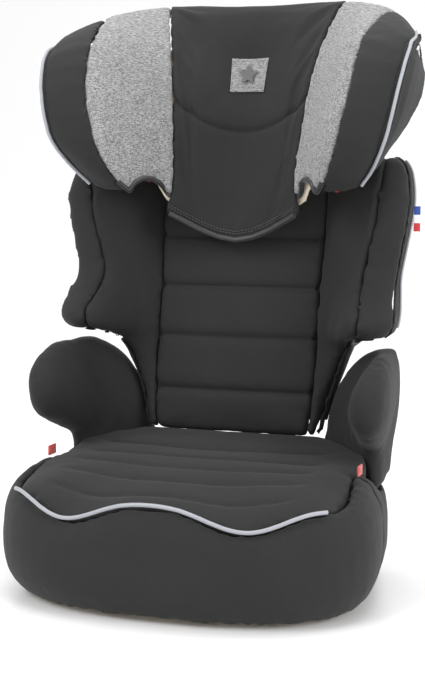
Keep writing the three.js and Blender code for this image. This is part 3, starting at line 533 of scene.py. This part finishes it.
CLOTH = (BLACK, "black_fabric")
stuffed(
    "seat_pad", *CLOTH, fill=0.7, voxel=0.006, cap=0.007, shape=seat_quilting, grow=0.0012
)
stuffed("seat_skirt", *CLOTH, fill=0.5, voxel=0.0048, cap=0.003)
stuffed(
    "backrest_panel_pad", *CLOTH, fill=0.7, voxel=0.005, cap=0.006, shape=back_quilting,
    grow=0.0016, wrinkle=0.0004,
)
stuffed(
    "head_centre_pad", *CLOTH, fill=0.5, voxel=0.004, cap=0.003, shape=head_quilting,
    grow=0.0009, wrinkle=0.0004,
)
for side, _ in SIDES:
    stuffed(f"side_panel_{side}", *CLOTH, fill=0.5, voxel=0.0048, cap=0.002)
    stuffed(
        f"armrest_cover_{side}", *CLOTH, fill=0.7, voxel=0.005, cap=0.003, ease=14,
        core=f"armrest_core_{side}",
    )
    stuffed(f"wing_pad_{side}", *CLOTH, fill=0.8, voxel=0.005, cap=0.005, grow=0.0011, ease=6)
    stuffed(f"wing_edge_{side}", *CLOTH, fill=0.8, voxel=0.005, cap=0.005, grow=0.0011, ease=6)
    stuffed(f"wing_side_{side}", *CLOTH, fill=0.4, voxel=0.003, cap=0, fine=False)
    stuffed(
        f"head_strip_{side}", HEATHER, "heather_fabric", fill=0.5, voxel=0.004, cap=0.003,
        grow=0.0009,
    )
    stuffed(f"head_band_{side}", *CLOTH, fill=0.6, voxel=0.004, cap=0.004, grow=0.0009)
    stuffed(
        f"head_side_{side}", *CLOTH, fill=0.3, voxel=0.002, cap=0, fine=False, wrinkle=0.0003
    )
stuffed("head_liner", FOAM, "foam", fill=0.9, voxel=0.0035, cap=0, fine=False, wrinkle=0.0002)
stuffed("base_core", FOAM, "foam", fill=0.95, voxel=0.006, cap=0, fine=False, wrinkle=0.0003)

# ---------------------------------------------------------------- trim


END_INSET = 0.004  # of a piece's length, so that its end faces aren't cut


def crossings(bm, axis, at):
    """Where a mesh's edges cross a plane square to an axis."""
    out = []
    for edge in bm.edges:
        a, b = (v.co for v in edge.verts)
        if (a[axis] - at) * (b[axis] - at) <= 0 and a[axis] != b[axis]:
            out.append(a.lerp(b, (at - a[axis]) / (b[axis] - a[axis])))
    return out


def middle_line(node, axis, count):
    """Middle of a long thin node, at even steps along an axis."""
    bm = merged(node)
    lo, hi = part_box(node)
    inset = (hi[axis] - lo[axis]) * END_INSET
    span = hi[axis] - lo[axis] - 2 * inset
    line = []
    for i in range(count):
        found = crossings(bm, axis, lo[axis] + inset + span * i / (count - 1))
        if found:
            line.append(sum(found, Vector()) / len(found))
    bm.free()
    return line


def surface(name):
    bpy.context.view_layer.update()
    return BVHTree.FromObject(bpy.data.objects[name], bpy.context.evaluated_depsgraph_get())


def seated(line, covers, radius):
    """A line moved so that a piping of that radius lies on the nearest cover."""
    faces = [surface(name) for name in covers]
    out = []
    for p in line:
        near = min((f.find_nearest(p)[0] for f in faces), key=lambda q: (q - p).length)
        away = (p - near).normalized()
        out.append(near + away * radius * 0.8)
    return out


def between(line, first, second, extra):
    """Middles and radii of the gap between two covers, beside a line."""
    a, b = surface(first), surface(second)
    middles, radii = [], []
    for p in line:
        q = a.find_nearest(p)[0]
        s = b.find_nearest(q)[0]
        middles.append((q + s) / 2 + ((q + s) / 2 - p).normalized() * extra)
        radii.append((q - s).length / 2 + extra)
    return middles, radii


def round_tape(name, line, body, material, radius, replaced=()):
    """A smooth piping of round section along a line, with one radius or one for each point."""
    widths = radius if isinstance(radius, list) else [radius] * len(line)
    curve = bpy.data.curves.new(name, "CURVE")
    curve.dimensions = "3D"
    curve.bevel_depth = 1.0
    curve.bevel_resolution = 3
    curve.use_fill_caps = True
    curve.resolution_u = 3
    spline = curve.splines.new("NURBS")
    spline.points.add(len(line) - 1)
    for point, place, width in zip(spline.points, line, widths):
        point.co = (*place, 1)
        point.radius = width
    spline.use_endpoint_u = True
    spline.order_u = 4
    holder = bpy.data.objects.new("line", curve)
    bpy.context.scene.collection.objects.link(holder)
    mesh = applied(holder)
    bpy.data.objects.remove(holder)
    return piece(name, mesh, body, material, replaced)


round_tape(
    "seat_piping_satin", middle_line("seat_piping", 0, 60), "base", PIPE,
    0.0023, replaced=["seat_piping"],
)
for side, _ in SIDES:
    covers = [f"head_band_{side}_cover", f"head_side_{side}_cover"]
    edge = middle_line(f"head_piping_{side}", 2, 40)
    middles, radii = between(edge, *covers, 0.0018)
    round_tape(
        f"head_edge_roll_{side}", middles, "headrest", BLACK, radii
    )
    round_tape(
        f"head_piping_satin_{side}", seated(edge, covers + [f"head_edge_roll_{side}"], 0.0020),
        "headrest", PIPE, 0.0020, [f"head_piping_{side}"],
    )
    edge = middle_line(f"wing_piping_{side}", 2, 40)
    covers = [f"wing_edge_{side}_cover", f"wing_side_{side}_cover"]
    round_tape(
        f"wing_piping_satin_{side}", seated(edge, covers, 0.0015), "backrest", PIPE,
        0.0015, [f"wing_piping_{side}"],
    )


def stitches(name, line, body, material, pitch=0.0042, length=0.0028, radius=0.00042):
    """A row of short thread dashes along a line."""
    bm = bmesh.new()
    carry = 0.0
    for a, b in zip(line, line[1:]):
        span = (b - a).length
        turn = (b - a).to_track_quat("Z", "Y").to_matrix().to_4x4() if span > 1e-6 else None
        while turn and carry < span:
            place = Matrix.Translation(a.lerp(b, carry / span))
            bmesh.ops.create_cone(
                bm, cap_ends=True, segments=5, radius1=radius, radius2=radius, depth=length,
                matrix=place @ turn,
            )
            carry += pitch
        carry -= span
    return piece(name, to_mesh(bm, name), body, material)


def lower_edge(node, xs):
    """The front of a piece's lower edge, at each x."""
    bm = merged(node)
    line = []
    for x in xs:
        found = crossings(bm, 0, x)
        if found:
            line.append(min(found, key=lambda p: p.z + 0.5 * p.y))
    bm.free()
    return line


def spread(low, high, count):
    """Even steps from low to high, with both ends."""
    return [low + (high - low) * i / (count - 1) for i in range(count)]


HEM_RADIUS = 0.0032
HALF_FLAP = 0.081
ARCH_INSET = 0.004  # from the strip's inner seam to where the arch begins
ARCH_OUTER = 0.128  # x where the arch ends
STITCH_ROWS = (0.0075, 0.0105)  # above the flap's hem
flap = lower_edge("head_centre_pad", spread(-HALF_FLAP, HALF_FLAP, 41))
round_tape("flap_binding", flap, "headrest", DARK_PIPE, HEM_RADIUS)
for rise in STITCH_ROWS:
    stitches(
        f"flap_stitch_{round(rise * 10000)}",
        [p + Vector((0, -0.0006, rise)) for p in flap], "headrest", THREAD,
    )
for side, sign in SIDES:
    strip = f"head_strip_{side}"
    inner = min(abs(corner[0]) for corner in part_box(strip)) + ARCH_INSET
    arch = lower_edge(strip, [sign * x for x in spread(inner, ARCH_OUTER, 24)])
    round_tape(
        f"arch_binding_{side}", arch, "headrest", DARK_PIPE, HEM_RADIUS
    )

# ---------------------------------------------------------------- label, tabs, patch


def tape(node, name, material, bevel):
    """A folded tape: the node's form with soft edges."""
    bm = merged(node)
    bmesh.ops.bevel(
        bm, geom=bm.edges[:], offset=bevel, segments=3, profile=0.5, affect="EDGES", material=-1
    )
    return piece(name, to_mesh(bm, name), BODY[node], material, [node])


label_low, label_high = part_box("side_label")
tape("side_label", "loop_label", label_cloth(label_high[2], label_low[2]), 0.0004)
for side, _ in SIDES:
    tape(f"lap_belt_tab_{side}", f"belt_tape_{side}", TAB, 0.0005)


STAR_TIP, STAR_HOLLOW, STAR_THICKNESS = 0.0135, 0.0062, 0.0011
BORDER_INSET, BORDER_STEPS = 0.0025, 12


def star_badge():
    """A raised plain star on the woven patch, and its stitched border."""
    low, high = (Vector(v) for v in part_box("head_patch"))
    bm = merged("head_patch")
    tilt = [v.co.copy() for v in bm.verts]
    bmesh.ops.bevel(
        bm, geom=[e for e in bm.edges if e.calc_face_angle(0) > 0.8], offset=0.0004,
        segments=2, profile=0.5, affect="EDGES", material=-1,
    )
    patch = to_mesh(bm, "woven_patch")
    piece("woven_patch", patch, "headrest", HEATHER, ["head_patch"])
    middle = (low + high) / 2
    rise = (high.z - low.z) / 2
    top = min((p for p in tilt if p.z > middle.z + rise * 0.6), key=lambda p: p.y).y
    bottom = min((p for p in tilt if p.z < middle.z - rise * 0.6), key=lambda p: p.y).y
    slope = (top - bottom) / (2 * rise)

    def on_face(x, z):
        return Vector((x, (top + bottom) / 2 + slope * (z - middle.z) - 0.0003, z))

    bm = bmesh.new()
    ring = []
    for i in range(10):
        reach = STAR_HOLLOW if i % 2 else STAR_TIP
        angle = math.pi / 2 + i * math.pi / 5
        x = middle.x + reach * math.cos(angle)
        z = middle.z + reach * math.sin(angle)
        ring.append(bm.verts.new(on_face(x, z)))
    face = bm.faces.new(ring)
    grown = bmesh.ops.extrude_face_region(bm, geom=[face])
    bmesh.ops.translate(bm, vec=(0, -STAR_THICKNESS, 0), verts=corners_in(grown["geom"]))
    bmesh.ops.recalc_face_normals(bm, faces=bm.faces)
    star = piece("patch_star", to_mesh(bm, "patch_star"), "headrest", THREAD)
    for face in star.data.polygons:
        face.use_smooth = False
    half = (high.x - low.x) / 2 - BORDER_INSET
    tall = rise - BORDER_INSET
    corners = [(-half, -tall), (half, -tall), (half, tall), (-half, tall), (-half, -tall)]
    border = []
    for (xa, za), (xb, zb) in zip(corners, corners[1:]):
        for i in range(BORDER_STEPS):
            x = middle.x + xa + (xb - xa) * i / BORDER_STEPS
            z = middle.z + za + (zb - za) * i / BORDER_STEPS
            border.append(on_face(x, z))
    stitches("patch_border", border, "headrest", PALE_THREAD, 0.003, 0.0022, 0.0004)


star_badge()

# ---------------------------------------------------------------- mouldings and metal


def dressed(node, name, material, bevel=0.0008, smooth=math.radians(40)):
    """A hard piece: the node's form with rounded edges."""
    made = piece(name, to_mesh(merged(node), name), BODY[node], material, [node])
    edge = made.modifiers.new("rounded", "BEVEL")
    edge.width, edge.segments, edge.limit_method, edge.angle_limit = bevel, 2, "ANGLE", smooth
    edge.harden_normals = True
    return made


PLASTIC = (BLACK_MOULD, "black_plastic")
RED = (RED_MOULD, "red_plastic")
METAL = (STEEL, "steel")
HARD = {
    "base_shell": (*PLASTIC, 0.0006),
    "backrest_shell": (*PLASTIC, 0.0006),
    "head_shell": (*PLASTIC, 0.0006),
    "spine": (*PLASTIC, 0.0010),
    "head_slider": (*PLASTIC, 0.0006),
    "height_rack": (*METAL, 0.0003),
    "hinge_rod": (*METAL, 0.0006),
    "lever_pin": (*METAL, 0.0004),
    "lever_spring": (*METAL, 0.0001),
    "latch_bolt": (*METAL, 0.0004),
    "height_lever": (*RED, 0.0010),
}
for side, _ in SIDES:
    HARD[f"armrest_core_{side}"] = (*PLASTIC, 0.0006)
    HARD[f"rod_hook_{side}"] = (*PLASTIC, 0.0008)
    HARD[f"rod_bracket_{side}"] = (*PLASTIC, 0.0008)
    HARD[f"shoulder_belt_guide_{side}"] = (*RED, 0.0012)
    for row in ("upper", "lower"):
        HARD[f"spine_screw_{row}_{side}"] = (*METAL, 0.0004)
    for row in ("front", "rear"):
        HARD[f"foot_{row}_{side}"] = (RUBBER, "rubber", 0.0010)
for node, (material, slot, bevel) in HARD.items():
    dressed(node, node + "_made", material, bevel)

# ---------------------------------------------------------------- studio


HALF_FLOOR, WALL_HEIGHT, SWEEP = 5, 7, 3


def studio():
    """A pale floor that sweeps up into a wall, an even sky and three soft lamps."""
    scene = bpy.context.scene
    bm = bmesh.new()
    bmesh.ops.create_grid(bm, x_segments=1, y_segments=1, size=HALF_FLOOR)
    at_rear = HALF_FLOOR - 0.1
    rear = [e for e in bm.edges if all(v.co.y > at_rear for v in e.verts)]
    risen = bmesh.ops.extrude_edge_only(bm, edges=rear)["geom"]
    bmesh.ops.translate(bm, vec=(0, 0, WALL_HEIGHT), verts=corners_in(risen))
    fold = [e for e in bm.edges if all(abs(v.co.z) < 1e-6 and v.co.y > at_rear for v in e.verts)]
    bmesh.ops.bevel(
        bm, geom=fold, offset=SWEEP, segments=24, profile=0.5, affect="EDGES", material=-1
    )
    floor = bpy.data.objects.new("studio_floor", to_mesh(bm, "studio_floor"))
    scene.collection.objects.link(floor)
    paper, _, shader = finish("pale_floor", 0.35)
    shader.inputs["Base Color"].default_value = grey(0.9)
    floor.data.materials.append(paper)
    for face in floor.data.polygons:
        face.use_smooth = True
    world = bpy.data.worlds.new("studio")
    world.use_nodes = True
    background = world.node_tree.nodes["Background"]
    background.inputs["Color"].default_value = (1, 1, 1, 1)
    background.inputs["Strength"].default_value = 0.95
    scene.world = world
    for name, place, aim, power, size in (
        ("key_softbox", (-1.6, -2.2, 2.4), (0, 0, 0.4), 60, 1.6),
        ("right_softbox", (2.4, -0.9, 1.3), (0, 0, 0.4), 36, 1.4),
        ("top_softbox", (0.1, 0.3, 2.8), (0, 0, 0.3), 30, 1.8),
    ):
        light = bpy.data.lights.new(name, "AREA")
        light.energy, light.size = power, size
        lamp = bpy.data.objects.new(name, light)
        lamp.location = place
        lamp.rotation_euler = (Vector(aim) - Vector(place)).to_track_quat("-Z", "Y").to_euler()
        scene.collection.objects.link(lamp)
    scene.view_settings.view_transform = "Standard"


studio()
